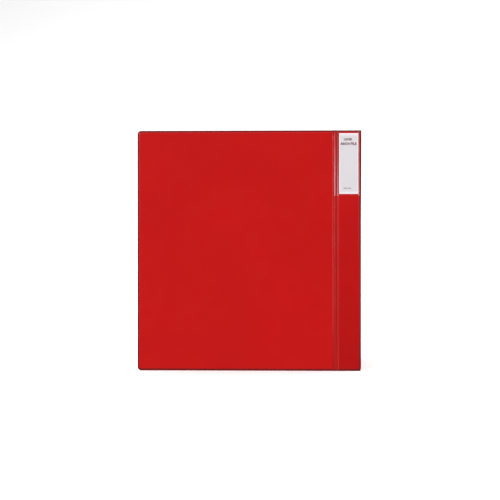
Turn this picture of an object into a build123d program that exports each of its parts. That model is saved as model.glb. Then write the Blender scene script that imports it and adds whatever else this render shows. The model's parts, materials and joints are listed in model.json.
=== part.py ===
from build123d import *
import os
from math import cos, radians, sin, tan

# Lever arch file of foolscap height, standing upright and opened in an L. The front
# cover and the spine lie in one plane facing -Y. The back cover runs away along +Y and
# carries the lever arch mechanism on its inner face. All sizes are in millimetres.

# Case
HEIGHT = 345.0
COVER_WIDTH = 280.5
SPINE_WIDTH = 28.3
HINGE_WIDTH = 9.0
PANEL = 2.7
SKIN = 0.35
BOARD = PANEL - 2 * SKIN
RIM = 2.5
CORNER_RADIUS = 5.0
PAD_CORNER_RADIUS = 3.0
PAD_EDGE_RADIUS = 0.3
FOLD_RADIUS = 2.3
FOLD_LEAD = 0.25
FOLD_TAIL = 5.1

# Label pocket and label
FILM = 0.2
FILM_FRONT = 0.7
FILM_WELD_FRONT = 1.6
FILM_WELD_REAR = 0.6
FILM_REAR_EDGE = 0.65
POCKET_BOTTOM = 251.2
POCKET_TOP = 344.0
POCKET_SEAM = 1.5
CARD_WIDTH = 27.3
CARD_THICKNESS = 0.3
CARD_BOTTOM = 253.7
CARD_TOP = 341.3
CARD_GAP = 0.1

# Mechanism. v is the height above the middle of the mechanism, u the distance from the
# outer face of the spine, and w the height above the inner face of the back cover.
MECHANISM_Z = HEIGHT / 2
POST_SPACING = 80.0
POST_U = 70.0
POST_RADIUS = 1.9
POST_TOP = 18.5
POST_FOOT_RADIUS = 3.2
POST_FOOT = (0.8, 2.0)
CONE_HALF_ANGLE = 30.0
RECESS_RADIUS = 1.45
RECESS_CUT = 0.5
TIP_GAP = 0.35

PLATE_U = (20.0, 82.0)
PLATE_HALF_LENGTH = 72.0
PLATE_TOP = 3.0
PLATE_SHEET = 1.0
PLATE_CORNER = 4.0
PLATE_EDGE_RADIUS = 0.8
PLATE_RIBS = ((25.0, 50.0), (57.3, 50.0))
PLATE_RIB_RADIUS = 1.5
PLATE_RIB_RISE = 0.7
RIVET_U = (27.5, 74.5)
RIVET_V = 64.0
RIVET_RADIUS = 1.6
RIVET_HEAD_RADIUS = 4.0
RIVET_HEAD = 0.5
RIVET_HEAD_ROUND = 0.3
RIVET_EYE_RADIUS = 2.8
RIVET_EYE = 0.7
RIVET_EYE_ROUND = 0.4
DIMPLE_RADIUS = 5.5
FIT_GAP = 0.02
RUNNING_GAP = 0.05
# Depth by which solids that are joined or cut reach into or past each other.
OVERLAP = 0.01
CUT = 1.0

WIRE_RADIUS = 1.6
AXLE_U = 34.0
AXLE_W = 5.0
ARCH_TOP = 26.0
ARCH_FRONT_RADIUS = 6.2
ARCH_BACK_RADIUS = 9.0
AXLE_BEND_RADIUS = 4.0
CRANK_U = 46.0
CRANK_V = (-21.4, -2.0)
CRANK_BEND_RADIUS = 2.8
LUG_V = (-32.0, 7.0, 32.0)
LUG_THICKNESS = 1.2
LUG_RADIUS = 3.2

PIVOT_V = -26.0
PIVOT_W = 11.2
PIVOT_RADIUS = 1.2
EAR_U = (38.2, 52.6)
EAR_THICKNESS = 1.2
EAR_V = (-30.5, -24.2)
EAR_TOP = 13.6
EAR_ROUND = 1.5
PIVOT_OVERHANG = 0.6
LEVER_U = (40.0, 52.0)
LEVER_SHEET = 1.0
LEVER_BACK_RADIUS = 2.5
LEVER_TIP_U = (38.5, 53.5)
LEVER_TIP_START = 42.0
LEVER_TIP_BLEND = 22.0
LEVER_TIP_CORNER = 4.0
LEVER_WALL_LENGTH = 34.0
LEVER_WALL_KNEE = (8.0, 3.0)
LEVER_LENGTH = 52.0
LEVER_CURL_RADIUS = 5.0
LEVER_CURL_ANGLE = 62.0
LEVER_REACH = 60.0
ROLLER_OFFSET = (6.5, -1.9)
ROLLER_RADIUS = 2.5
ROLLER_U = (43.4, 48.6)
ROLLER_EAR_RADIUS = 1.9
ROLLER_PIN_RADIUS = 1.0
ROLLER_PIN_OVERHANG = 0.4
PIN_CHAMFER = 0.2

BAR_LENGTH = 108.0
BAR_WIDTH = 17.0
BAR_BOTTOM = 3.2
BAR_TOP = 6.0
BAR_HOLLOW = 1.2
BAR_WALL = 1.4
BAR_BOSS_RADIUS = 4.2
BAR_GRIP = (26.0, 5.0)
BAR_GRIP_HEIGHT = 1.2
BAR_CORNER = 7.5
BAR_ROUND = 0.5
BAR_GRIP_ROUND = 0.6
BAR_RUNNING_GAP = 0.08

# Places that follow from the sizes above. x starts at the free edge of the front cover,
# y at the outer face of the spine, and z at the surface that the file stands on.
MID = PANEL / 2
SPINE_START = COVER_WIDTH + HINGE_WIDTH
SPINE_END = SPINE_START + SPINE_WIDTH
BACK_MID = SPINE_END + FOLD_LEAD + FOLD_RADIUS
BACK_OUTER = BACK_MID + MID
BACK_INNER = BACK_MID - MID
BACK_START = MID + FOLD_RADIUS + FOLD_TAIL
BACK_END = BACK_START + COVER_WIDTH
ORIGIN = Pos(-(BACK_OUTER + RIVET_HEAD) / 2, -(BACK_END - FILM_FRONT) / 2, 0)
ON_BACK = Plane((BACK_INNER, 0, MECHANISM_Z), x_dir=(0, 0, 1), z_dir=(-1, 0, 0)).location
PIVOT_U = (EAR_U[0] - PIVOT_OVERHANG, EAR_U[1] + EAR_THICKNESS + PIVOT_OVERHANG)
ROLLER_PIN_U = (LEVER_U[0] - ROLLER_PIN_OVERHANG, LEVER_U[1] + ROLLER_PIN_OVERHANG)
ROLLER_V = PIVOT_V + ROLLER_OFFSET[0]
ROLLER_W = PIVOT_W + ROLLER_OFFSET[1]

os.makedirs("parts", exist_ok=True)


def save(name, shape):
    """Write one node in the file's own frame: centred on its box, standing on z = 0."""
    shape = ORIGIN * shape
    shape.label = name
    export_step(shape, f"parts/{name}.step")


def block(x, y, z):
    """A box between the limits given as pairs."""
    size = (x[1] - x[0], y[1] - y[0], z[1] - z[0])
    return Pos((x[0] + x[1]) / 2, (y[0] + y[1]) / 2, (z[0] + z[1]) / 2) * Box(*size)


def save_mechanism(name, shape):
    """Write a node of the mechanism, which is modelled with X = v, Y = u and Z = w."""
    save(name, ON_BACK * shape)


# --- Panels -----------------------------------------------------------------------


def panel_outline(width, free_edge, inset, radius):
    """Outline of a panel in X and Z, centred in X, standing on z = 0. free_edge is -1 or
    +1 for the side with the rounded corners, or 0 for a panel between two hinges. The
    inset leaves room for the welded rim, which the hinge sides don't have."""
    left = -width / 2 + (inset if free_edge < 0 else 0)
    right = width / 2 - (inset if free_edge > 0 else 0)
    centre = Pos((left + right) / 2, HEIGHT / 2)
    sketch = centre * Rectangle(right - left, HEIGHT - 2 * inset)
    if free_edge:
        corners = sketch.vertices().sort_by(Axis.X)
        corners = corners[-2:] if free_edge > 0 else corners[:2]
        sketch = fillet(corners, radius)
    return Plane.XZ * sketch


def board(width, free_edge):
    """Greyboard stiffener, which fills the space between the two sheets."""
    inset = RIM + SKIN
    sketch = panel_outline(width - 2 * SKIN, free_edge, RIM, PAD_CORNER_RADIUS - SKIN)
    keep = block((-width, width), (-PANEL, PANEL), (inset, HEIGHT - inset))
    return Pos(0, SKIN, 0) * (extrude(sketch, -BOARD) & keep)


def sheet(width, free_edge):
    """Outer sheet of a panel: a shallow pan over the board, and its welded rim, which
    ends at the middle of the panel's thickness."""
    rim = Pos(0, MID - SKIN, 0) * extrude(
        panel_outline(width, free_edge, 0, CORNER_RADIUS), -SKIN
    )
    pad = extrude(panel_outline(width, free_edge, RIM, PAD_CORNER_RADIUS), -MID)
    pad = fillet(pad.faces().sort_by(Axis.Y)[0].edges(), PAD_EDGE_RADIUS)
    return rim + pad - board(width, free_edge)


def panel(name, width, free_edge, place):
    """One stiffened panel: board, outer sheet, and the inner sheet as its mirror."""
    outer = sheet(width, free_edge)
    inner = mirror(outer, Plane.XZ.offset(-MID))
    save(f"{name}_board", place * board(width, free_edge))
    return place * outer, place * inner


def hinge_strip(low, high):
    """Flat live hinge between the front cover and the spine, one ply."""
    return block((COVER_WIDTH, SPINE_START), (low, high), (0, HEIGHT))


def corner_strip(low, high):
    """Live hinge that turns the corner from the spine to the back cover, one ply. low
    and high are the ply's faces, measured through the panel from its outer face."""
    centre = (BACK_MID - FOLD_RADIUS, MID + FOLD_RADIUS)
    outside = FOLD_RADIUS + MID - low
    inside = FOLD_RADIUS + MID - high
    ring = Circle(outside) - Circle(inside)
    quarter = Pos(*centre) * (ring & Pos(outside / 2, -outside / 2) * Rectangle(outside, outside))
    solid = extrude(quarter, HEIGHT)
    solid += block((SPINE_END, centre[0]), (low, high), (0, HEIGHT))
    arm = (centre[0] + inside, centre[0] + outside)
    return solid + block(arm, (centre[1], BACK_START), (0, HEIGHT))


front_place = Pos(COVER_WIDTH / 2, 0, 0)
spine_place = Pos(SPINE_START + SPINE_WIDTH / 2, 0, 0)
back_place = Pos(BACK_OUTER, BACK_START + COVER_WIDTH / 2, 0) * Rot(0, 0, 90)

# --- Spine label ------------------------------------------------------------------


def label_pocket():
    """Clear film over the spine, open at the top. Its long edges reach down into the
    hinge grooves, where they are welded to the outer sheet."""
    x = (SPINE_START - FILM_WELD_FRONT, SPINE_END + FILM_REAR_EDGE)
    z = (POCKET_BOTTOM, POCKET_TOP)
    groove = MID - SKIN
    film = block(x, (-FILM_FRONT, FILM - FILM_FRONT), z)
    film += block((x[0], SPINE_START - FILM), (-FILM_FRONT, groove), z)
    film += block((x[1] - FILM_WELD_REAR, x[1]), (-FILM_FRONT, groove), z)
    seam_x = (SPINE_START - FILM_WELD_FRONT, x[1])
    return film + block(seam_x, (-FILM_FRONT, 0), (z[0], z[0] + POCKET_SEAM))


def label_card():
    """Paper label that fills the pocket."""
    middle = (SPINE_START + SPINE_END) / 2
    x = (middle - CARD_WIDTH / 2, middle + CARD_WIDTH / 2)
    card = block(x, (-CARD_GAP - CARD_THICKNESS, -CARD_GAP), (CARD_BOTTOM, CARD_TOP))
    return card


# --- Mechanism --------------------------------------------------------------------


def disc(v, u, low, high, radius):
    """A cylinder standing on the back cover."""
    return Pos(v, u, (low + high) / 2) * Cylinder(radius, high - low)


def cross_rod(v, w, u, radius):
    """A cylinder along u."""
    return Pos(v, (u[0] + u[1]) / 2, w) * Rot(90, 0, 0) * Cylinder(radius, u[1] - u[0])


def long_rod(u, w, v, radius):
    """A cylinder along v."""
    return Pos((v[0] + v[1]) / 2, u, w) * Rot(0, 90, 0) * Cylinder(radius, v[1] - v[0])


def rivet_places():
    """Centres of the four rivets, as (v, u)."""
    return [(side * RIVET_V, u) for side in (-1, 1) for u in RIVET_U]


def base_plate():
    """Pressed steel tray with its open side on the cover, a dimple at each rivet, lugs
    for the arch wire and ears for the lever."""
    v = (-PLATE_HALF_LENGTH, PLATE_HALF_LENGTH)
    plate = block(v, PLATE_U, (0, PLATE_TOP))
    plate = fillet(plate.edges().filter_by(Axis.Z), PLATE_CORNER)
    plate = fillet(plate.faces().sort_by(Axis.Z)[-1].edges(), PLATE_EDGE_RADIUS)
    hollow_v = (v[0] + PLATE_SHEET, v[1] - PLATE_SHEET)
    hollow_u = (PLATE_U[0] + PLATE_SHEET, PLATE_U[1] - PLATE_SHEET)
    hollow = block(hollow_v, hollow_u, (-CUT, PLATE_TOP - PLATE_SHEET))
    plate -= fillet(hollow.edges().filter_by(Axis.Z), PLATE_CORNER - PLATE_SHEET)
    for v_rivet, u_rivet in rivet_places():
        plate += disc(v_rivet, u_rivet, 0, PLATE_TOP - OVERLAP, DIMPLE_RADIUS)
        inner_radius = DIMPLE_RADIUS - PLATE_SHEET
        plate -= disc(v_rivet, u_rivet, PLATE_SHEET, PLATE_TOP + CUT, inner_radius)
        plate -= disc(v_rivet, u_rivet, -CUT, PLATE_TOP, RIVET_RADIUS + FIT_GAP)
    for u_rib, half in PLATE_RIBS:
        w_rib = PLATE_TOP + PLATE_RIB_RISE - PLATE_RIB_RADIUS
        plate += long_rod(u_rib, w_rib, (-half, half), PLATE_RIB_RADIUS)
        for end in (-half, half):
            plate += Pos(end, u_rib, w_rib) * Sphere(PLATE_RIB_RADIUS)
    foot = AXLE_W - PLATE_TOP + PLATE_SHEET / 2
    lug_face = Circle(LUG_RADIUS) + Pos(0, -foot / 2) * Rectangle(2 * LUG_RADIUS, foot)
    for v_lug in LUG_V:
        upright = Plane(origin=(v_lug, AXLE_U, AXLE_W), x_dir=(0, 1, 0), z_dir=(1, 0, 0))
        plate += extrude(upright * lug_face, LUG_THICKNESS / 2, both=True)
    for u_ear in EAR_U:
        ear_w = (PLATE_TOP - PLATE_SHEET, EAR_TOP)
        ear = block(EAR_V, (u_ear, u_ear + EAR_THICKNESS), ear_w)
        top = ear.faces().sort_by(Axis.Z)[-1]
        plate += fillet(top.edges().filter_by(Axis.Y), EAR_ROUND)
    for side in (-1, 1):
        post_v = side * POST_SPACING / 2
        plate -= disc(post_v, POST_U, 0, PLATE_TOP + CUT, POST_RADIUS + FIT_GAP)
    outermost = LUG_V[-1] + LUG_THICKNESS
    plate -= long_rod(AXLE_U, AXLE_W, (-outermost, outermost), WIRE_RADIUS + RUNNING_GAP)
    return plate - cross_rod(PIVOT_V, PIVOT_W, PIVOT_U, PIVOT_RADIUS + FIT_GAP)


def cone(v, u, apex, radius):
    """A cone on the paper post's line, with its point down at the apex."""
    height = radius / tan(radians(CONE_HALF_ANGLE))
    return Pos(v, u, apex + height / 2) * Cone(0, radius, height)


def post(v):
    """Fixed paper post, with a foot behind the plate and a hollow tip."""
    solid = disc(v, POST_U, POST_FOOT[0], POST_TOP, POST_RADIUS)
    solid += disc(v, POST_U, *POST_FOOT, POST_FOOT_RADIUS)
    depth = RECESS_RADIUS / tan(radians(CONE_HALF_ANGLE))
    wide = RECESS_RADIUS + RECESS_CUT * tan(radians(CONE_HALF_ANGLE))
    recess = cone(v, POST_U, POST_TOP - depth, wide)
    return solid - recess


def rivet(v, u):
    """Rivet through the back cover and the plate, with a flat head outside."""
    shank = disc(v, u, -PANEL - OVERLAP, PLATE_SHEET + OVERLAP, RIVET_RADIUS)
    head = disc(v, u, -PANEL - RIVET_HEAD, -PANEL, RIVET_HEAD_RADIUS)
    head = fillet(head.edges().sort_by(Axis.Z)[0], RIVET_HEAD_ROUND)
    eye = disc(v, u, PLATE_SHEET, PLATE_SHEET + RIVET_EYE, RIVET_EYE_RADIUS)
    eye = fillet(eye.edges().sort_by(Axis.Z)[-1], RIVET_EYE_ROUND)
    return shank + head + eye


def arch_wire():
    """The two arches, their common axle and its crank: one bent wire with cone tips."""
    side = POST_SPACING / 2
    apex = POST_TOP - RECESS_RADIUS / tan(radians(CONE_HALF_ANGLE)) + TIP_GAP
    tip = apex + WIRE_RADIUS / tan(radians(CONE_HALF_ANGLE))
    route = [
        (-side, POST_U, tip),
        (-side, POST_U, ARCH_TOP),
        (-side, AXLE_U, ARCH_TOP),
        (-side, AXLE_U, AXLE_W),
        (CRANK_V[0], AXLE_U, AXLE_W),
        (CRANK_V[0], CRANK_U, AXLE_W),
        (CRANK_V[1], CRANK_U, AXLE_W),
        (CRANK_V[1], AXLE_U, AXLE_W),
        (side, AXLE_U, AXLE_W),
        (side, AXLE_U, ARCH_TOP),
        (side, POST_U, ARCH_TOP),
        (side, POST_U, tip),
    ]
    bends = [ARCH_FRONT_RADIUS, ARCH_BACK_RADIUS, AXLE_BEND_RADIUS]
    bends = bends + [CRANK_BEND_RADIUS] * 4 + bends[::-1]
    path = FilletPolyline(*route, radius=bends)
    section = Plane(origin=route[0], z_dir=(0, 0, 1)) * Circle(WIRE_RADIUS)
    wire = sweep(section, path)
    return wire + cone(-side, POST_U, apex, WIRE_RADIUS) + cone(side, POST_U, apex, WIRE_RADIUS)


def lever_wall():
    """Side wall of the lever, seen along u: from the pivot past the roller, and then up
    to the lever's top sheet."""
    top = PIVOT_W + LEVER_BACK_RADIUS
    under = top - LEVER_SHEET
    wall_end = PIVOT_V + LEVER_WALL_LENGTH
    side = Polygon(
        (PIVOT_V, PIVOT_W - LEVER_BACK_RADIUS),
        (ROLLER_V, ROLLER_W - ROLLER_EAR_RADIUS),
        (ROLLER_V + LEVER_WALL_KNEE[0], under - LEVER_WALL_KNEE[1]),
        (wall_end, under),
        (wall_end, top),
        (PIVOT_V, top),
        align=None,
    )
    side += Pos(PIVOT_V, PIVOT_W) * Circle(LEVER_BACK_RADIUS)
    side += Pos(ROLLER_V, ROLLER_W) * Circle(ROLLER_EAR_RADIUS)
    return extrude(Plane.XZ * side, -LEVER_SHEET)


def lever_strip():
    """Top sheet of the lever as wide as its tip, with the tip curled up."""
    top = PIVOT_W + LEVER_BACK_RADIUS
    middle = (PIVOT_V + LEVER_LENGTH / 2, top - LEVER_SHEET / 2)
    side = Pos(*middle) * Rectangle(LEVER_LENGTH, LEVER_SHEET)
    ring = Circle(LEVER_CURL_RADIUS + LEVER_SHEET) - Circle(LEVER_CURL_RADIUS)
    far = 3 * LEVER_CURL_RADIUS
    turn = radians(LEVER_CURL_ANGLE)
    corners = [(0, 0), (0, -far), (far, -far), (far * sin(turn), -far * cos(turn))]
    side += Pos(PIVOT_V + LEVER_LENGTH, top + LEVER_CURL_RADIUS) * (
        ring & Polygon(*corners, align=None)
    )
    solid = extrude(Plane.XZ * side, LEVER_TIP_U[0] - LEVER_TIP_U[1])
    return Pos(0, LEVER_TIP_U[0], 0) * solid


def lever():
    """Channel of sheet steel that widens to a finger end with a curled tip."""
    wall = lever_wall()
    solid = Pos(0, LEVER_U[0], 0) * wall + Pos(0, LEVER_U[1] - LEVER_SHEET, 0) * wall
    tall = (0, LEVER_REACH)
    channel = block((-LEVER_REACH, PIVOT_V + LEVER_TIP_START), LEVER_U, tall)
    finger = block((PIVOT_V + LEVER_TIP_BLEND, LEVER_REACH), LEVER_TIP_U, tall)
    finger = fillet(finger.edges().filter_by(Axis.Z), LEVER_TIP_CORNER)
    solid += lever_strip() & (channel + finger)
    span = (LEVER_U[0] - CUT, LEVER_U[1] + CUT)
    solid -= cross_rod(PIVOT_V, PIVOT_W, span, PIVOT_RADIUS + RUNNING_GAP)
    return solid - cross_rod(ROLLER_V, ROLLER_W, span, ROLLER_PIN_RADIUS + FIT_GAP)


def pin(v, w, u, radius):
    """Headed pin along u."""
    rod = cross_rod(v, w, u, radius)
    return chamfer(rod.edges(), PIN_CHAMFER)


def roller():
    """Roller between the lever's walls that runs on the crank of the arches."""
    solid = cross_rod(ROLLER_V, ROLLER_W, ROLLER_U, ROLLER_RADIUS)
    return solid - cross_rod(ROLLER_V, ROLLER_W, ROLLER_PIN_U, ROLLER_PIN_RADIUS + RUNNING_GAP)


def compressor_bar():
    """Moulded bar with a rim, two bosses for the posts and a grip in the middle."""
    v = (-BAR_LENGTH / 2, BAR_LENGTH / 2)
    u = (POST_U - BAR_WIDTH / 2, POST_U + BAR_WIDTH / 2)
    bar = block(v, u, (BAR_BOTTOM, BAR_TOP))
    bar = fillet(bar.edges().filter_by(Axis.Z), BAR_CORNER)
    bar = fillet(bar.faces().sort_by(Axis.Z)[-1].edges(), BAR_ROUND)
    hollow = block(
        (v[0] + BAR_WALL, v[1] - BAR_WALL),
        (u[0] + BAR_WALL, u[1] - BAR_WALL),
        (BAR_TOP - BAR_HOLLOW, BAR_TOP + CUT),
    )
    bar -= fillet(hollow.edges().filter_by(Axis.Z), BAR_CORNER - BAR_WALL)
    grip_v = (-BAR_GRIP[0] / 2, BAR_GRIP[0] / 2)
    grip_u = (POST_U - BAR_GRIP[1] / 2, POST_U + BAR_GRIP[1] / 2)
    grip = block(grip_v, grip_u, (BAR_BOTTOM + BAR_HOLLOW, BAR_TOP + BAR_GRIP_HEIGHT))
    bar += fillet(grip.faces().sort_by(Axis.Z)[-1].edges(), BAR_GRIP_ROUND)
    for side in (-1, 1):
        boss = disc(side * POST_SPACING / 2, POST_U, BAR_BOTTOM, BAR_TOP, BAR_BOSS_RADIUS)
        bore = disc(side * POST_SPACING / 2, POST_U, 0, BAR_TOP + CUT, POST_RADIUS + BAR_RUNNING_GAP)
        bar = bar + boss - bore
    return bar


# --- Assembly ---------------------------------------------------------------------

front_outer, front_inner = panel("front", COVER_WIDTH, -1, front_place)
spine_outer, spine_inner = panel("spine", SPINE_WIDTH, 0, spine_place)
back_outer, back_inner = panel("back", COVER_WIDTH, 1, back_place)
back_board = back_place * board(COVER_WIDTH, 1)
for v_rivet, u_rivet in rivet_places():
    hole = ON_BACK * disc(v_rivet, u_rivet, -PANEL - CUT, CUT, RIVET_RADIUS + FIT_GAP)
    back_outer -= hole
    back_inner -= hole
    back_board -= hole
save("back_board", back_board)
for name, outer, inner in (
    ("front", front_outer, front_inner),
    ("spine", spine_outer, spine_inner),
    ("back", back_outer, back_inner),
):
    save(f"{name}_outer_sheet", outer)
    save(f"{name}_inner_sheet", inner)

for ply, low in (("outer", MID - SKIN), ("inner", MID)):
    save(f"front_hinge_{ply}", hinge_strip(low, low + SKIN))
    save(f"rear_hinge_{ply}", corner_strip(low, low + SKIN))

save("label_pocket", label_pocket())
save("label_card", label_card())

save_mechanism("base_plate", base_plate())
save_mechanism("post_lower", post(-POST_SPACING / 2))
save_mechanism("post_upper", post(POST_SPACING / 2))
for number, (v_rivet, u_rivet) in enumerate(rivet_places(), 1):
    save_mechanism(f"rivet_{number}", rivet(v_rivet, u_rivet))
save_mechanism("arch_wire", arch_wire())
save_mechanism("lever", lever())
save_mechanism("lever_pin", pin(PIVOT_V, PIVOT_W, PIVOT_U, PIVOT_RADIUS))
save_mechanism("roller", roller())
save_mechanism("roller_pin", pin(ROLLER_V, ROLLER_W, ROLLER_PIN_U, ROLLER_PIN_RADIUS))
save_mechanism("compressor_bar", compressor_bar())
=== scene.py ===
import json
import math

import bmesh
import bpy
from mathutils import Matrix, Vector, noise


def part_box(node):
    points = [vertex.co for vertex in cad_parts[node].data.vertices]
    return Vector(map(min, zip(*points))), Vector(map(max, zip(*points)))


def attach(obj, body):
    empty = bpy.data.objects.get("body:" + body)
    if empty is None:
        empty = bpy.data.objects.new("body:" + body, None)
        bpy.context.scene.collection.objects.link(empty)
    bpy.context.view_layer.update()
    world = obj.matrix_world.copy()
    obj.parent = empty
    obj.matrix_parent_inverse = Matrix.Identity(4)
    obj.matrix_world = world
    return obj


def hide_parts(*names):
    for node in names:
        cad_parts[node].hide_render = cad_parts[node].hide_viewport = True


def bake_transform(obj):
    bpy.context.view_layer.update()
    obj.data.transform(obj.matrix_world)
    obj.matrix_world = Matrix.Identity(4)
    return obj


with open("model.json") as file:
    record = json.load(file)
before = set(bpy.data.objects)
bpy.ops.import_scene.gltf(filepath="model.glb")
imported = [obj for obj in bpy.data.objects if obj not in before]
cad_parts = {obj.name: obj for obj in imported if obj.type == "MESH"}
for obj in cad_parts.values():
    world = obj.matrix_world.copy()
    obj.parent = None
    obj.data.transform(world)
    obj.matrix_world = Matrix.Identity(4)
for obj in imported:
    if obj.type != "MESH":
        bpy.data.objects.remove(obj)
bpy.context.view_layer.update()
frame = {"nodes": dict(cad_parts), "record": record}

MM = 0.001


def low(node):
    return Vector(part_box(node)[0])


def high(node):
    return Vector(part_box(node)[1])


# --- Places taken from the frame -------------------------------------------------------

HEIGHT = high("front_outer_sheet").z
FACE_Y = low("front_outer_sheet").y
MID_Y = high("front_outer_sheet").y
LEFT_X = low("front_outer_sheet").x
FRONT_HINGE_X = high("front_outer_sheet").x
SPINE_X0 = low("spine_outer_sheet").x
SPINE_X1 = high("spine_outer_sheet").x
BACK_MID_X = low("back_outer_sheet").x
BACK_FACE_X = high("back_outer_sheet").x
BACK_Y0 = low("back_outer_sheet").y
PLY_MM = 0.35
PLY = PLY_MM * MM
TALL_MM = HEIGHT / MM


# --- Materials -------------------------------------------------------------------------


def fill_ramp(node, stops):
    """Give a colour ramp node its (position, colour) stops."""
    elements = node.color_ramp.elements
    for n, (at, colour) in enumerate(stops):
        stop = elements[n] if n < 2 else elements.new(at)
        stop.position = at
        stop.color = colour


class Nodes:
    """A material's node tree, with short calls for the nodes used here."""

    def __init__(self, name):
        self.material = bpy.data.materials.new(name)
        self.material.use_nodes = True
        self.tree = self.material.node_tree
        self.shader = self.tree.nodes["Principled BSDF"]
        self.place = self.add("ShaderNodeTexCoord").outputs["Object"]

    def add(self, kind, **settings):
        node = self.tree.nodes.new(kind)
        for key, value in settings.items():
            setattr(node, key, value)
        return node

    def link(self, source, target):
        self.tree.links.new(source, target)

    def set(self, **values):
        for key, value in values.items():
            self.shader.inputs[key.replace("_", " ")].default_value = value

    def scaled(self, scale):
        """Object coordinates stretched by a scale for each axis."""
        node = self.add("ShaderNodeMapping")
        node.inputs["Scale"].default_value = scale
        self.link(self.place, node.inputs["Vector"])
        return node.outputs["Vector"]

    def noise(self, scale, detail=3.0, stretch=None):
        node = self.add("ShaderNodeTexNoise")
        node.inputs["Scale"].default_value = scale
        node.inputs["Detail"].default_value = detail
        self.link(self.scaled(stretch) if stretch else self.place, node.inputs["Vector"])
        return node.outputs["Fac"]

    def voronoi(self, scale):
        node = self.add("ShaderNodeTexVoronoi")
        node.inputs["Scale"].default_value = scale
        self.link(self.place, node.inputs["Vector"])
        return node.outputs["Distance"]

    def ramp(self, value, stops):
        node = self.add("ShaderNodeValToRGB")
        fill_ramp(node, stops)
        self.link(value, node.inputs["Fac"])
        return node.outputs["Color"]

    def between(self, value, start, end):
        """A value from 0 to 1 mapped to the range start to end."""
        node = self.add("ShaderNodeMapRange")
        node.inputs["To Min"].default_value = start
        node.inputs["To Max"].default_value = end
        self.link(value, node.inputs["Value"])
        return node.outputs["Result"]

    def math(self, operation, *values):
        node = self.add("ShaderNodeMath", operation=operation)
        for n, value in enumerate(values):
            if isinstance(value, (int, float)):
                node.inputs[n].default_value = value
            else:
                self.link(value, node.inputs[n])
        return node.outputs["Value"]

    def mix(self, factor, first, second):
        """A blend of two colours. Sockets 6, 7 and 2 are the node's colour ones."""
        node = self.add("ShaderNodeMix", data_type="RGBA")
        for value, at in ((factor, 0), (first, 6), (second, 7)):
            if isinstance(value, (int, float, tuple)):
                node.inputs[at].default_value = value
            else:
                self.link(value, node.inputs[at])
        return node.outputs[2]

    def bump(self, *layers):
        """Bump made of (height, depth in metres) layers, one on top of another."""
        normal = None
        for height, depth in layers:
            node = self.add("ShaderNodeBump")
            node.inputs["Distance"].default_value = depth
            self.link(height, node.inputs["Height"])
            if normal:
                self.link(normal, node.inputs["Normal"])
            normal = node.outputs["Normal"]
        self.link(normal, self.shader.inputs["Normal"])

    def attribute(self, name):
        """A value that the mesh code stored on the points."""
        return self.add("ShaderNodeAttribute", attribute_name=name).outputs["Fac"]

    def height(self, low_z, high_z):
        """0 to 1 up the object between two heights."""
        split = self.add("ShaderNodeSeparateXYZ")
        self.link(self.place, split.inputs["Vector"])
        node = self.add("ShaderNodeMapRange")
        node.inputs["From Min"].default_value = low_z
        node.inputs["From Max"].default_value = high_z
        self.link(split.outputs["Z"], node.inputs["Value"])
        return node.outputs["Result"]

    def colour(self, source):
        self.link(source, self.shader.inputs["Base Color"])

    def roughness(self, source):
        self.link(source, self.shader.inputs["Roughness"])


def linear(red, green, blue, alpha=1.0):
    """A colour given as 0 to 255 screen values."""
    def channel(value):
        value = value / 255
        return value / 12.92 if value <= 0.04045 else ((value + 0.055) / 1.055) ** 2.4
    return (channel(red), channel(green), channel(blue), alpha)


def pvc(name, dark, light, grain=1.0, shaded_foot=None, gloss=0.25):
    """Coloured PVC sheet: fine calendered grain, soft unevenness and a soft gloss. Painted
    shade darkens the rims and hinge creases where the mesh says so. foot is a colour to fade
    to lower down: painted shade, darker towards the bottom."""
    n = Nodes(name)
    n.set(Specular_IOR_Level=gloss)
    cloud = n.noise(9.0, detail=4.0)
    speck = n.noise(2600.0, detail=2.0)
    both = n.math("ADD", n.math("MULTIPLY", cloud, 0.75), n.math("MULTIPLY", speck, 0.25))
    tone = n.ramp(both, ((0.36, dark), (0.64, light)))
    # Painted shade: the colour darkens towards the bottom of the sheet.
    if shaded_foot:
        tone = n.mix(n.height(0.92 * HEIGHT, 0.05 * HEIGHT), tone, shaded_foot)
    # Painted shade: rims and hinge creases fade to a dark red where the mesh's rim values say.
    n.colour(n.mix(n.attribute("rim"), tone, RIM_SHADE_RED))
    n.roughness(n.between(n.noise(60.0, detail=5.0), 0.27, 0.38))
    n.bump(
        (n.noise(14.0, detail=2.0), 0.0002),
        (n.voronoi(1500.0), 0.00002 * grain),
        (n.noise(3800.0, detail=3.0), 0.000012 * grain),
    )
    return n.material


def metal(name, colour, rough, stretch):
    """Plated steel with fine drawn lines and a few smudges."""
    n = Nodes(name)
    n.set(Metallic=1.0)
    lines = n.noise(900.0, detail=4.0, stretch=stretch)
    smudge = n.noise(45.0, detail=5.0)
    tone = n.math("ADD", n.math("MULTIPLY", lines, 0.35), n.math("MULTIPLY", smudge, 0.65))
    dull = tuple(c * 0.82 for c in colour[:3]) + (1.0,)
    n.colour(n.ramp(tone, ((0.3, dull), (0.7, colour))))
    n.roughness(n.between(tone, rough * 0.7, rough * 1.35))
    n.bump((lines, 0.000006), (n.noise(90.0, detail=2.0), 0.000012))
    return n.material


def plastic(name, colour, rough):
    """Moulded plastic with a fine spark-eroded texture."""
    n = Nodes(name)
    n.set(Specular_IOR_Level=0.45)
    worn = tuple(min(1.0, c * 1.7 + 0.004) for c in colour[:3]) + (1.0,)
    n.colour(n.ramp(n.noise(300.0, detail=5.0), ((0.35, colour), (0.75, worn))))
    n.roughness(n.between(n.noise(120.0, detail=4.0), rough * 0.8, rough * 1.25))
    n.bump((n.noise(2600.0, detail=3.0), 0.00002))
    return n.material


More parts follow.
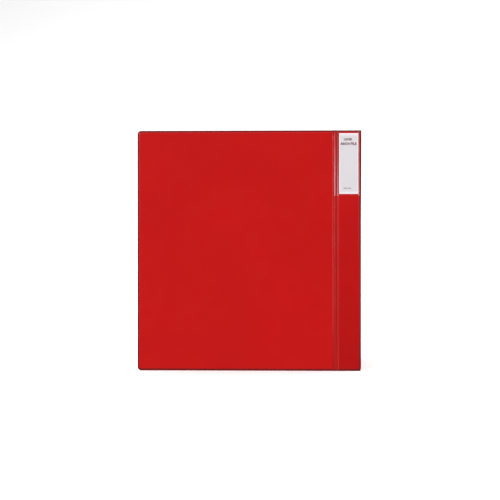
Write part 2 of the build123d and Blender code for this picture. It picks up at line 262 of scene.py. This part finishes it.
def paper(name):
    """Smooth white label card with faint fibres."""
    n = Nodes(name)
    n.set(Specular_IOR_Level=0.25)
    fibre = n.noise(700.0, detail=6.0, stretch=(1.0, 1.0, 0.25))
    cloud = n.noise(30.0, detail=4.0)
    tone = n.math("ADD", n.math("MULTIPLY", fibre, 0.4), n.math("MULTIPLY", cloud, 0.6))
    face = n.ramp(tone, ((0.3, linear(210, 206, 210)), (0.7, linear(217, 213, 217))))
    n.colour(n.mix(n.attribute("rim"), face, linear(240, 232, 237)))
    n.roughness(n.between(fibre, 0.62, 0.8))
    n.bump((fibre, 0.00001))
    return n.material


def ink(name, colour):
    """Printing ink that lets the paper's fibres show."""
    n = Nodes(name)
    pale = tuple(min(1.0, c * 1.5) for c in colour[:3]) + (1.0,)
    n.colour(n.ramp(n.noise(2500.0, detail=3.0), ((0.4, colour), (0.75, pale))))
    n.roughness(n.between(n.noise(900.0), 0.5, 0.7))
    return n.material


def film(name):
    """Clear soft PVC film with a faint haze; the white along its welds is a painted highlight.
    """
    n = Nodes(name)
    n.set(Specular_IOR_Level=0.8)
    n.set(Base_Color=(1.0, 0.74, 0.78, 1.0))
    haze = n.noise(120.0, detail=5.0, stretch=(1.0, 1.0, 0.3))
    n.roughness(n.between(haze, 0.1, 0.3))
    clear = n.between(haze, 0.0, 0.012)
    # Painted highlight: the film turns white where the mesh's weld values are high.
    painted_highlight = n.math("MULTIPLY", n.attribute("weld"), n.between(haze, 0.85, 1.15))
    n.link(n.math("ADD", clear, painted_highlight), n.shader.inputs["Alpha"])
    n.bump((n.noise(70.0, detail=2.0, stretch=(1.0, 1.0, 0.25)), 0.0003))
    return n.material


def greyboard(name):
    """Recycled board with flecks."""
    n = Nodes(name)
    fleck = n.noise(1500.0, detail=5.0)
    n.colour(n.ramp(fleck, ((0.35, linear(140, 136, 130)), (0.7, linear(176, 172, 164)))))
    n.roughness(n.between(fleck, 0.8, 0.95))
    n.bump((fleck, 0.00006))
    return n.material


# Dark red of the painted shade along the rims, in the hinge grooves and on the turning fold.
RIM_SHADE_RED = linear(108, 15, 18)
COVER = pvc("cover_pvc", linear(184, 10, 10), linear(190, 12, 12))
# The spine and the hinges fade to a darker red lower down: painted shade.
SPINE = pvc("spine_pvc", linear(185, 12, 13), linear(190, 14, 15), shaded_foot=linear(172, 6, 6))
LINING = pvc("lining_pvc", linear(180, 12, 12), linear(188, 15, 15), grain=1.6)
HINGE = pvc(
    "hinge_pvc", linear(181, 9, 9), linear(188, 12, 12),
    grain=0.7, shaded_foot=linear(174, 7, 7), gloss=0.45,
)
PLATE = metal("nickel_plate", linear(214, 211, 205), 0.26, (1.0, 1.0, 0.04))
WIRE = metal("nickel_wire", linear(220, 217, 211), 0.18, (0.3, 0.3, 0.3))
RIVET = metal("rivet_steel", linear(198, 196, 192), 0.32, (1.0, 1.0, 1.0))
ROLLER = metal("roller_steel", linear(186, 184, 180), 0.3, (1.0, 0.05, 1.0))
BLACK = plastic("black_plastic", linear(26, 26, 28), 0.38)
PAPER = paper("label_paper")
FILM = film("clear_film")
BOARD = greyboard("greyboard")

CAD_MATERIALS = {
    "greyboard": BOARD,
    "cover_pvc": COVER,
    "lining_pvc": LINING,
    "hinge_pvc": HINGE,
    "clear_film": FILM,
    "label_paper": PAPER,
    "plated_steel": PLATE,
    "wire_steel": WIRE,
    "rivet_steel": RIVET,
    "roller_steel": ROLLER,
    "black_plastic": BLACK,
}
SLOT_OF = {s["node"]: s["material_slot"] for s in frame["record"]["subparts"]}
for node_name, node_object in frame["nodes"].items():
    node_object.data.materials.clear()
    node_object.data.materials.append(CAD_MATERIALS[SLOT_OF[node_name]])


# --- Mesh helpers ----------------------------------------------------------------------


def in_scene(name, data):
    """A new object in the scene."""
    made = bpy.data.objects.new(name, data)
    bpy.context.scene.collection.objects.link(made)
    return made


def piece(name, points, faces, material, slot, body=None, sharp=40.0):
    """A mesh object from points and faces, smooth except at sharp edges."""
    mesh = bpy.data.meshes.new(name)
    mesh.from_pydata([tuple(p) for p in points], [], faces)
    mesh.update()
    mesh.materials.append(material)
    mesh.polygons.foreach_set("use_smooth", [True] * len(mesh.polygons))
    mesh.set_sharp_from_angle(angle=math.radians(sharp))
    made = in_scene(name, mesh)
    if body:
        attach(made, body)
    return made


def store(made, name, rows, columns, value):
    """Keep value(column, row) at the points of a slab, for the material to read."""
    layer = made.data.attributes.new(name, "FLOAT", "POINT")
    values = [value(c, r) for r in range(rows) for c in range(columns)]
    layer.data.foreach_set("value", values * 2)


def slab(rows, columns, top, bottom):
    """Points and faces of a closed slab: two grids of the same size, joined all round.
    top and bottom give a point for (column, row)."""
    points = [top(c, r) for r in range(rows) for c in range(columns)]
    points += [bottom(c, r) for r in range(rows) for c in range(columns)]
    below = rows * columns
    faces = []
    for r in range(rows - 1):
        for c in range(columns - 1):
            a = r * columns + c
            quad = (a, a + 1, a + columns + 1, a + columns)
            faces.append(quad)
            faces.append(tuple(below + k for k in reversed(quad)))
    ring = list(range(columns))
    ring += [r * columns + columns - 1 for r in range(1, rows)]
    ring += [(rows - 1) * columns + c for c in range(columns - 2, -1, -1)]
    ring += [r * columns for r in range(rows - 2, 0, -1)]
    for k, a in enumerate(ring):
        b = ring[(k + 1) % len(ring)]
        faces.append((b, a, below + a, below + b))
    return points, faces


def face_outwards(made):
    """Turn every face of a closed mesh to the outside."""
    turn_outwards(made.data)
    return made


def turn_outwards(mesh, weld=0.0):
    """The same for mesh data, after welding points that are closer than a distance."""
    work = bmesh.new()
    work.from_mesh(mesh)
    if weld:
        bmesh.ops.remove_doubles(work, verts=work.verts, dist=weld)
    bmesh.ops.recalc_face_normals(work, faces=work.faces)
    work.to_mesh(mesh)
    work.free()


def slab_piece(name, rows, columns, top, bottom, material, slot, body=None, sharp=40.0):
    """A closed slab as a piece."""
    points, faces = slab(rows, columns, top, bottom)
    return face_outwards(piece(name, points, faces, material, slot, body, sharp))


def steps(start, end, count):
    """Evenly spaced values, both ends included."""
    return [start + (end - start) * k / (count - 1) for k in range(count)]


def smooth(value):
    """0 to 1 with a soft start and end."""
    value = min(1.0, max(0.0, value))
    return value * value * (3 - 2 * value)


def bell(value, middle, width):
    """1 at the middle, falling off on both sides."""
    return math.exp(-(((value - middle) / width) ** 2))


def rim_shade(edge):
    """How much painted shade darkens a rim, from the distance in mm to the nearest edge."""
    return 1.0 - smooth((edge - 0.8) / 3.2)


def along(table, at):
    """Height at a distance, from (distance, height) pairs, joined by straight lines."""
    for (a, low_height), (b, high_height) in zip(table, table[1:]):
        if at <= b:
            return low_height + (high_height - low_height) * (at - a) / (b - a)
    return table[-1][1]


# --- Stiffened panels ------------------------------------------------------------------

# Height of a sheet's face above the middle of the panel, in mm, against the distance
# from a welded rim and from a hinge.
RIM_PROFILE = (
    (0.0, 0.24), (0.12, 0.33), (0.3, 0.35), (0.5, 0.35), (0.62, 0.24), (1.5, 0.24),
    (1.62, 0.38), (1.85, 0.5), (2.1, 0.46), (2.3, 0.4), (2.5, 0.5), (2.56, 0.9),
    (2.7, 1.12), (2.95, 1.26), (3.3, 1.33), (3.8, 1.35), (6.0, 1.35),
)
HINGE_PROFILE = (
    (0.0, 0.37), (0.04, 0.85), (0.16, 1.08), (0.38, 1.24), (0.7, 1.32), (1.1, 1.35),
    (2.5, 1.35),
)
# The outer sheet runs nearly level into the hinges beside the spine.
LEVEL_PROFILE = (
    (0.0, 1.31), (0.04, 1.31), (0.16, 1.32), (0.38, 1.33), (0.7, 1.34), (1.1, 1.35),
    (2.5, 1.35),
)
CORNER = 5.0  # radius of a cover's free corners
SWELL = 0.07  # how unevenly a face lies over its board
SWELL_FROM = 1.3  # height above which a face counts as lying over the board
SOLID_RIM = 2.4  # the two sheets are welded into one this far in from an edge
PLAIN_CELLS = 22
SPINE_CELLS = 6


def grid_lines(size, start, end, cells):
    """Grid lines over a width in mm, close together at the edges as their profiles ask."""
    first = [at for at, _ in start]
    last = [size - at for at, _ in end][::-1]
    middle = steps(first[-1], last[0], cells + 1)[1:-1]
    return first + middle + last


def bend_corner(a, b):
    """Distances from two edges, moved so that a square corner becomes a round one."""
    if a >= CORNER or b >= CORNER:
        return a, b
    p, q = 1 - a / CORNER, 1 - b / CORNER
    reach = math.hypot(p, q)
    if reach < 1e-9:
        return a, b
    pull = max(p, q) / reach
    return CORNER * (1 - p * pull), CORNER * (1 - q * pull)


def sheet_piece(name, width, free, to_frame, body, slot, material, seed, hinge):
    """One PVC sheet of a panel, as a thin shell. to_frame turns (distance from the left
    edge, height above the mid plane, z), in mm, into a point in the frame. free is -1 or
    1 for the side with the rounded corners, and 0 for a panel between two hinges. hinge
    is the profile beside a hinge."""
    left = RIM_PROFILE if free < 0 else hinge
    right = RIM_PROFILE if free > 0 else hinge
    across = grid_lines(width, left, right, PLAIN_CELLS if free else SPINE_CELLS)
    up = grid_lines(TALL_MM, RIM_PROFILE, RIM_PROFILE, PLAIN_CELLS + 8)

    def height(a, z):
        rims = [z, TALL_MM - z]
        hinges = []
        (rims if free < 0 else hinges).append(a)
        (rims if free > 0 else hinges).append(width - a)
        top = along(RIM_PROFILE, min(rims))
        if hinges:
            top = min(top, along(hinge, min(hinges)))
        if top > SWELL_FROM:
            wave = noise.noise(Vector((a / 95, z / 110, seed)))
            fade = smooth((min(rims + hinges) - 3) / 25)
            top += SWELL * (wave - 0.8) * fade
        return top

    def place(a, z):
        """Distance and height of a grid point once the free corners are rounded."""
        side = a if free < 0 else width - a
        end = min(z, TALL_MM - z)
        side, end = bend_corner(side, end) if free else (side, end)
        new_a = side if free < 0 else width - side
        return new_a, end if z < TALL_MM / 2 else TALL_MM - end

    def top(c, r):
        a, z = across[c], up[r]
        moved = place(a, z)
        return to_frame(moved[0], height(a, z), moved[1])

    def bottom(c, r):
        a, z = across[c], up[r]
        moved = place(a, z)
        under = max(0.0, height(a, z) - PLY_MM)
        edge = min(z, TALL_MM - z, a, width - a)
        return to_frame(moved[0], 0.0 if edge < SOLID_RIM else under, moved[1])

    # Painted shade at the rims, stored for the material.
    def rim(c, r):
        edges = [up[r], TALL_MM - up[r]]
        edges += [across[c]] if free < 0 else []
        edges += [width - across[c]] if free > 0 else []
        return rim_shade(min(edges))

    made = slab_piece(name, len(up), len(across), top, bottom, material, slot, body)
    store(made, "rim", len(up), len(across), rim)
    return made


def front_frame(origin_x, outward):
    """Places for a panel that faces the viewer: outward is 1 outside and -1 inside."""
    def to_frame(a, n, z):
        return Vector((origin_x + a * MM, MID_Y - outward * n * MM, z * MM))
    return to_frame


def back_frame(outward):
    """Places for the back cover."""
    def to_frame(a, n, z):
        return Vector((BACK_MID_X + outward * n * MM, BACK_Y0 + a * MM, z * MM))
    return to_frame


COVER_MM = (FRONT_HINGE_X - LEFT_X) / MM
SPINE_MM = (SPINE_X1 - SPINE_X0) / MM
for side, outward, slot_name, material in (
    ("outer", 1, "cover_pvc", COVER),
    ("inner", -1, "lining_pvc", LINING),
):
    for panel, width, free, to_frame, body in (
        ("front", COVER_MM, -1, front_frame(LEFT_X, outward), "front_cover"),
        ("spine", SPINE_MM, 0, front_frame(SPINE_X0, outward), "spine"),
        ("back", COVER_MM, 1, back_frame(outward), "back_cover"),
    ):
        finish = SPINE if panel == "spine" and outward > 0 else material
        made = sheet_piece(
            f"{panel}_{side}_skin", width, free, to_frame, body, slot_name, finish,
            len(panel) * 1.7 + outward,
            LEVEL_PROFILE if outward > 0 and panel != "back" else HINGE_PROFILE,
        )
        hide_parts(f"{panel}_{side}_sheet")


# --- Hinges ----------------------------------------------------------------------------

# Height of the outer face above the middle of a hinge, against the distance from the
# cover's edge (front) or the spine's edge (rear), in mm: welded ridges and grooves.
FRONT_WEB = (
    (0.0, 1.3), (0.1, 1.34), (1.05, 1.88), (1.2, 1.92), (1.35, 1.84), (1.9, 1.3),
    (2.2, 1.2), (2.45, 1.16), (2.7, 1.22), (3.3, 1.47), (3.6, 1.5), (3.9, 1.47),
    (5.0, 1.26), (5.6, 1.1), (6.2, 0.93), (6.6, 0.9), (6.9, 0.95), (7.5, 1.15),
    (7.9, 1.19), (8.3, 1.1), (8.6, 1.1), (9.0, 1.3),
)
REAR_WEB = (
    (0.0, 1.3), (0.1, 1.22), (0.2, 1.22), (0.65, 1.5), (0.85, 1.5), (1.3, 1.15),
    (2.0, 0.65), (3.0, 0.42), (5.6, 0.36), (6.2, 0.6), (6.8, 0.36), (9.0, 0.36),
)
HINGE_MM = (SPINE_X0 - FRONT_HINGE_X) / MM
# The rear hinge runs level for its lead, turns the corner on its fold radius, and goes
# on to the back cover: REAR_MM is its whole length along the middle.
LEAD_MM = 0.25
FOLD_MM = (BACK_MID_X - SPINE_X1) / MM - LEAD_MM
REAR_MM = LEAD_MM + FOLD_MM * (math.pi / 2 - 1) + (BACK_Y0 - MID_Y) / MM
BULGE_MM = 1.15
POCKET_LOW = low("label_pocket")
POCKET_HIGH = high("label_pocket")


def web_height(s, z, profile, length):
    """Height of a hinge's outer face, in mm. The ridges wander a little, and flatten
    towards the bottom."""
    inside = smooth(s / 1.2) * smooth((length - s) / 1.2)
    drift = 0.35 * smooth((175 - z) / 30) - 0.15 * smooth((z - 236) / 10)
    drift += 0.12 * noise.noise(Vector((z / 40, 3.0, 0.0)))
    strength = 0.35 + 0.65 * smooth((z - 2) / 75)
    strength *= 0.55 + 0.45 * smooth((TALL_MM - z) / 14)
    strength = 1 + (strength - 1) * inside
    return PLY_MM + (along(profile, s - drift * inside) - PLY_MM) * strength


def web_shade(s, z, length):
    """Painted shade on the hinge: at its ends, and in the grooves, most of all under the
    label's film.
    """
    covered = smooth((z - POCKET_LOW.z / MM) / 2)
    groove = bell(length - s, 0.35, 0.7) * (0.1 + 0.9 * covered)
    groove += bell(length - s, 2.8, 0.8) * (0.05 + 0.6 * covered)
    return min(1.0, max(rim_shade(min(z, TALL_MM - z)), groove))


def fold_shade(s, z, length):
    """Painted shade on the rear hinge: at its ends, and where it turns away from the light."""
    return max(rim_shade(min(z, TALL_MM - z)), 0.45 * smooth((s - 0.9) / 1.2))


def bulge(s, z):
    """How far the rear hinge bellies out past the back cover, in mm."""
    upper = smooth((z - 120) / 190)
    return BULGE_MM * upper * smooth((s - 0.8) / 2.6) * smooth((REAR_MM - s) / 3.5)


def flat_hinge(s, z):
    """A point of the front hinge's middle line and its outward direction."""
    return Vector((FRONT_HINGE_X + s * MM, MID_Y, 0)), Vector((0, -1, 0))


def corner_hinge(s, z):
    """The same for the rear hinge, which turns the corner at rest. s starts at the spine."""
    arc = FOLD_MM * math.pi / 2
    centre = Vector((BACK_MID_X - FOLD_MM * MM, MID_Y + FOLD_MM * MM, 0))
    belly = Vector((bulge(s, z) * MM, 0, 0))
    if s < LEAD_MM:
        return Vector((SPINE_X1 + s * MM, MID_Y, 0)), Vector((0, -1, 0))
    if s < LEAD_MM + arc:
        turn = (s - LEAD_MM) / FOLD_MM
        out = Vector((math.sin(turn), -math.cos(turn), 0))
        return centre + belly + out * FOLD_MM * MM, out
    y = centre.y + (s - LEAD_MM - arc) * MM
    return Vector((BACK_MID_X, y, 0)) + belly, Vector((1, 0, 0))


def hinge_piece(name, path, length, profile, shade, nodes):
    """Both plies of a live hinge as one closed strip."""
    across = steps(0.0, length, 82)
    ends = (0.0, 0.3, 1.0, 2.0)
    up = [*ends, *steps(3.0, TALL_MM - 3.0, 76), *(TALL_MM - z for z in reversed(ends))]

    def top(c, r):
        centre, out = path(across[c], up[r])
        rise = web_height(across[c], up[r], profile, length)
        return centre + out * rise * MM + Vector((0, 0, up[r] * MM))

    def bottom(c, r):
        centre, out = path(across[c], up[r])
        return centre - out * PLY + Vector((0, 0, up[r] * MM))

    # Painted shade from the shade function, stored for the material.
    def rim(c, r):
        return shade(across[c], up[r], length)

    made = slab_piece(
        name, len(up), len(across), top, bottom, HINGE, "hinge_pvc", sharp=60
    )
    store(made, "rim", len(up), len(across), rim)
    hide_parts(*nodes)
    return made


front_hinge = hinge_piece(
    "front_hinge_web", flat_hinge, HINGE_MM, FRONT_WEB, web_shade,
    ("front_hinge_outer", "front_hinge_inner"),
)
rear_hinge = hinge_piece(
    "rear_hinge_web", corner_hinge, REAR_MM, REAR_WEB, fold_shade,
    ("rear_hinge_outer", "rear_hinge_inner"),
)
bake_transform(front_hinge)
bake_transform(rear_hinge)


# --- Label -----------------------------------------------------------------------------

CARD_LOW = low("label_card")
CARD_HIGH = high("label_card")
CARD_MM = (CARD_HIGH.x - CARD_LOW.x) / MM
CARD_SHORT = 0.6  # the card ends this far below the top of its solid
CARD_BORDER = 0.7
FILM_MM = 0.12
FILM_REACH = 7.0  # how far the film goes from the spine over the front hinge
FILM_LAP = 2.0  # and over the rear hinge


def pocket_piece():
    """Clear film from a ridge of the front hinge over the spine to the rear corner. It is
    pressed down along its bottom seam, ripples over the label, and carries painted highlights
    along its welds and over the rear fold."""
    thick = FILM_MM * MM
    front = CARD_LOW.y - 0.06 * MM - thick
    face = FACE_Y - 0.03 * MM
    left = [SPINE_X0 - (FILM_REACH - s) * MM for s in steps(0.0, FILM_REACH, 44)[:-1]]
    middle = steps(SPINE_X0 + 0.7 * MM, SPINE_X1 - 0.6 * MM, 28)
    right = [SPINE_X1 + s * MM for s in steps(-0.3, FILM_LAP, 20)]
    line = left + [SPINE_X0 + s * MM for s in (0.0, 0.15, 0.3, 0.5)] + middle + right
    tall = (POCKET_HIGH.z - POCKET_LOW.z) / MM
    up = [0.0, 0.3, 0.6, 1.3, 1.6, 2.2] + steps(4.0, tall, 44)

    def level(x, z):
        """Where the film lies in y, over the hinges and over the label."""
        if x < SPINE_X0:
            rise = web_height((x - FRONT_HINGE_X) / MM, z, FRONT_WEB, HINGE_MM)
            return MID_Y - (rise + 0.05) * MM - thick
        if x > SPINE_X1:
            s = (x - SPINE_X1) / MM
            rise = web_height(s, z, REAR_WEB, REAR_MM)
            away = max(0.0, s - LEAD_MM) / FOLD_MM
            facing = math.sqrt(max(0.0, 1 - away * away))
            drop = FOLD_MM * (1 - facing)
            return MID_Y - (rise * facing - drop + 0.06) * MM - thick
        over = smooth((x - SPINE_X0) / (0.6 * MM)) * smooth((SPINE_X1 - x) / (0.5 * MM))
        wave = 0.5 + 0.5 * noise.noise(Vector((x * 160, z / 16, 5.0)))
        wave *= smooth((x - SPINE_X0) / (3 * MM)) * smooth((SPINE_X1 - x) / (3 * MM))
        return face - thick + over * (front - wave * 0.1 * MM - face + thick)

    def surface(c, r, inwards):
        x, z = line[c], POCKET_LOW.z / MM + up[r]
        seam = 1 - smooth((up[r] - 1.0) / 1.2)
        y = level(x, z)
        if SPINE_X0 <= x <= SPINE_X1:
            y += seam * (face - thick - y)
        return Vector((x, y + inwards * thick, z * MM))

    # Painted highlight on the film: white along the welds on the hinge ridges, growing towards
    # the bottom, and a little over the rear fold.
    def weld(c, r):
        lower = 1.0 - up[r] / tall
        s = (line[c] - FRONT_HINGE_X) / MM
        past = (line[c] - SPINE_X1) / MM
        left_highlight = bell(s, 3.2, 0.9) * 0.19 * smooth(lower * 1.25)
        left_highlight += bell(s, 7.5, 0.8) * 0.19 * lower * lower
        right_highlight = bell(past, 0.45, 0.45) * (0.2 + 0.24 * lower)
        return min(1.0, left_highlight + right_highlight + 0.02 * smooth((past - 0.6) / 0.4))

    made = slab_piece(
        "label_pocket_film", len(up), len(line), lambda c, r: surface(c, r, 0),
        lambda c, r: surface(c, r, 1), FILM, "clear_film",
    )
    store(made, "weld", len(up), len(line), weld)
    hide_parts("label_pocket")
    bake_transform(made)


def card_lines(size, cells):
    """Grid lines over the card, close together at its softened edges."""
    return [0.0, 0.05, 0.2, *steps(0.6, size - 0.6, cells), size - 0.2, size - 0.05, size]


def card_piece():
    """Label card with a softened edge and a white border."""
    tall = (CARD_HIGH.z - CARD_LOW.z) / MM - CARD_SHORT
    across = card_lines(CARD_MM, 30)
    up = card_lines(tall, 24)
    thick = CARD_HIGH.y - CARD_LOW.y

    def edge(c, r):
        return min(across[c], across[-1] - across[c], up[r], tall - up[r])

    def surface(c, r, back):
        round_off = 0.06 * MM * (1 - smooth(edge(c, r) / 0.2))
        y = CARD_LOW.y + (thick - round_off if back else round_off)
        return Vector((CARD_LOW.x + across[c] * MM, y, CARD_LOW.z + up[r] * MM))

    def border(c, r):
        return 1.0 if edge(c, r) < CARD_BORDER else 0.0

    made = slab_piece(
        "label_card_sheet", len(up), len(across), lambda c, r: surface(c, r, 0),
        lambda c, r: surface(c, r, 1), PAPER, "label_paper", "label",
    )
    store(made, "rim", len(up), len(across), border)
    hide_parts("label_card")


# The print lies on the card without touching it. The faint frame is drawn by four rules.
PRINT_GAP = 0.015 * MM
PRINT_THICK = 0.02 * MM
RULE_WIDE = 0.45
RULE_LEFT = 3.6
RULE_RIGHT = CARD_MM - 5.9
RULE_LOW = 15.5
RULE_HIGH = 66.0
RULE_TOP = 65.6


def printed_line(name, x, z, material):
    """A printed stroke on the label: x and z are (low, high) in mm on the card."""
    y = CARD_LOW.y - PRINT_GAP
    count = max(2, int((z[1] - z[0]) / 3))
    up = steps(z[0], z[1], count)

    def corner(c, r, back):
        return Vector((
            CARD_LOW.x + x[c] * MM, y - (0 if back else PRINT_THICK), CARD_LOW.z + up[r] * MM
        ))

    slab_piece(
        name, count, 2, lambda c, r: corner(c, r, 0), lambda c, r: corner(c, r, 1),
        material, "label_paper", "label",
    )


def printed_words(name, words, x, z, size, weight, material):
    """Printed words. x and z are the middle of their base line on the card, and weight is
    how much bolder the strokes are, in mm."""
    curve = bpy.data.curves.new(name, "FONT")
    curve.body = words
    curve.size = size * MM
    curve.align_x = "CENTER"
    curve.extrude = PRINT_THICK / 2
    curve.offset = weight * MM
    curve.resolution_u = 3
    shaped = bpy.data.objects.new(name + "_curve", curve)
    mesh = bpy.data.meshes.new_from_object(shaped)
    bpy.data.objects.remove(shaped)
    bpy.data.curves.remove(curve)
    turn = Matrix.Rotation(math.pi / 2, 4, "X")
    place = Vector((
        CARD_LOW.x + x * MM, CARD_LOW.y - PRINT_GAP - PRINT_THICK / 2, CARD_LOW.z + z * MM
    ))
    mesh.transform(Matrix.Translation(place) @ turn)
    turn_outwards(mesh, weld=1e-6)
    mesh.materials.clear()
    mesh.materials.append(material)
    made = in_scene(name, mesh)
    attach(made, "label")


INK = ink("brown_ink", linear(104, 62, 68))
FAINT_INK = ink("pale_ink", linear(150, 118, 130))
RULE_INK = ink("rule_ink", linear(203, 198, 206))
pocket_piece()
card_piece()
printed_words("print_title", "LEVER", 0.46 * CARD_MM, 76.7, 4.3, 0.18, INK)
printed_words("print_subtitle", "ARCH FILE", 0.49 * CARD_MM, 70.2, 4.9, 0.22, INK)
printed_words("print_number", "FILE No.", 0.44 * CARD_MM, 7.0, 3.2, 0.1, FAINT_INK)
for side_name, x in (("left", RULE_LEFT), ("right", RULE_RIGHT)):
    printed_line(f"print_rule_{side_name}", (x, x + RULE_WIDE), (RULE_LOW, RULE_HIGH), RULE_INK)
for level_name, z in (("low", RULE_LOW), ("high", RULE_TOP)):
    x = (RULE_LEFT, RULE_RIGHT + RULE_WIDE)
    printed_line(f"print_rule_{level_name}", x, (z, z + RULE_WIDE), RULE_INK)


# --- Stage, light and camera -----------------------------------------------------------


def studio():
    """Seamless pale bowl: a flat floor that curves up into a wall all round."""
    n = Nodes("studio_floor")
    n.set(Specular_IOR_Level=0.1)
    n.colour(n.ramp(n.noise(0.8), ((0.3, (0.9, 0.9, 0.9, 1)), (0.7, (0.93, 0.93, 0.93, 1)))))
    n.set(Roughness=0.9)
    flat, curve, wall = 3.0, 1.6, 2.2
    profile = [(0.0, 0.0)] + [(r, 0.0) for r in steps(0.4, flat, 6)]
    profile += [
        (flat + curve * math.sin(a), curve * (1 - math.cos(a)))
        for a in steps(0.0, math.pi / 2, 14)[1:]
    ]
    profile += [(flat + curve, curve + wall)]
    turns = 96
    points = [Vector((0, 0, 0))]
    for radius, z in profile[1:]:
        for k in range(turns):
            a = 2 * math.pi * k / turns
            points.append(Vector((radius * math.cos(a), radius * math.sin(a), z)))
    faces = [(0, 1 + k, 1 + (k + 1) % turns) for k in range(turns)]
    for ring in range(len(profile) - 2):
        start = 1 + ring * turns
        for k in range(turns):
            after = (k + 1) % turns
            faces.append((start + k, start + turns + k, start + turns + after, start + after))
    mesh = bpy.data.meshes.new("studio")
    mesh.from_pydata(points, [], faces)
    mesh.polygons.foreach_set("use_smooth", [True] * len(mesh.polygons))
    mesh.materials.append(n.material)
    floor = in_scene("studio", mesh)
    floor.visible_diffuse = False
    floor.visible_glossy = False
    floor.visible_shadow = False


def sun(name, towards, strength, angle):
    """A broad soft light from far away, shining towards a direction."""
    lamp = bpy.data.lights.new(name, "SUN")
    lamp.energy = strength
    lamp.angle = math.radians(angle)
    made = in_scene(name, lamp)
    made.rotation_euler = Vector(towards).to_track_quat("-Z", "Y").to_euler()


def surroundings():
    """A calm sky gradient: bright overhead, dark at the horizon, grey from below."""
    world = bpy.data.worlds.new("world")
    world.use_nodes = True
    tree = world.node_tree
    add, link = tree.nodes.new, tree.links.new
    split = add("ShaderNodeSeparateXYZ")
    link(add("ShaderNodeTexCoord").outputs["Generated"], split.inputs["Vector"])
    level = add("ShaderNodeMapRange")
    level.inputs["From Min"].default_value = -1.0
    link(split.outputs["Z"], level.inputs["Value"])
    ramp = add("ShaderNodeValToRGB")
    stops = ((0.0, 0.7), (0.38, 0.45), (0.46, 0.1), (0.54, 0.1), (0.66, 0.6), (1.0, 1.5))
    fill_ramp(ramp, [(at, (grey, grey, grey, 1)) for at, grey in stops])
    link(level.outputs["Result"], ramp.inputs["Fac"])
    link(ramp.outputs["Color"], tree.nodes["Background"].inputs["Color"])
    bpy.context.scene.world = world


studio()
surroundings()
sun("key", (1.0, 0.85, -0.6), 2.9, 30)
sun("fill", (-0.35, -1.0, -0.9), 2.4, 60)
bpy.context.scene.view_settings.view_transform = "Standard"

# The camera is level, 2 m in front of the cover and turned a little to its right.
LENS = 100.0
SENSOR = 36.0
DISTANCE = 1.9945
TURN = math.radians(2.1)
ASIDE = 1.3 * MM  # offsets from the middle of the cover and spine
ABOVE = 0.9 * MM
camera_data = bpy.data.cameras.new("camera")
camera_data.lens = LENS
camera_data.sensor_width = SENSOR
camera = in_scene("camera", camera_data)
camera.location = (
    (LEFT_X + BACK_FACE_X) / 2 + ASIDE + DISTANCE * math.sin(TURN),
    FACE_Y - DISTANCE * math.cos(TURN),
    HEIGHT / 2 + ABOVE,
)
camera.rotation_euler = (math.pi / 2, 0, TURN)
bpy.context.scene.camera = camera
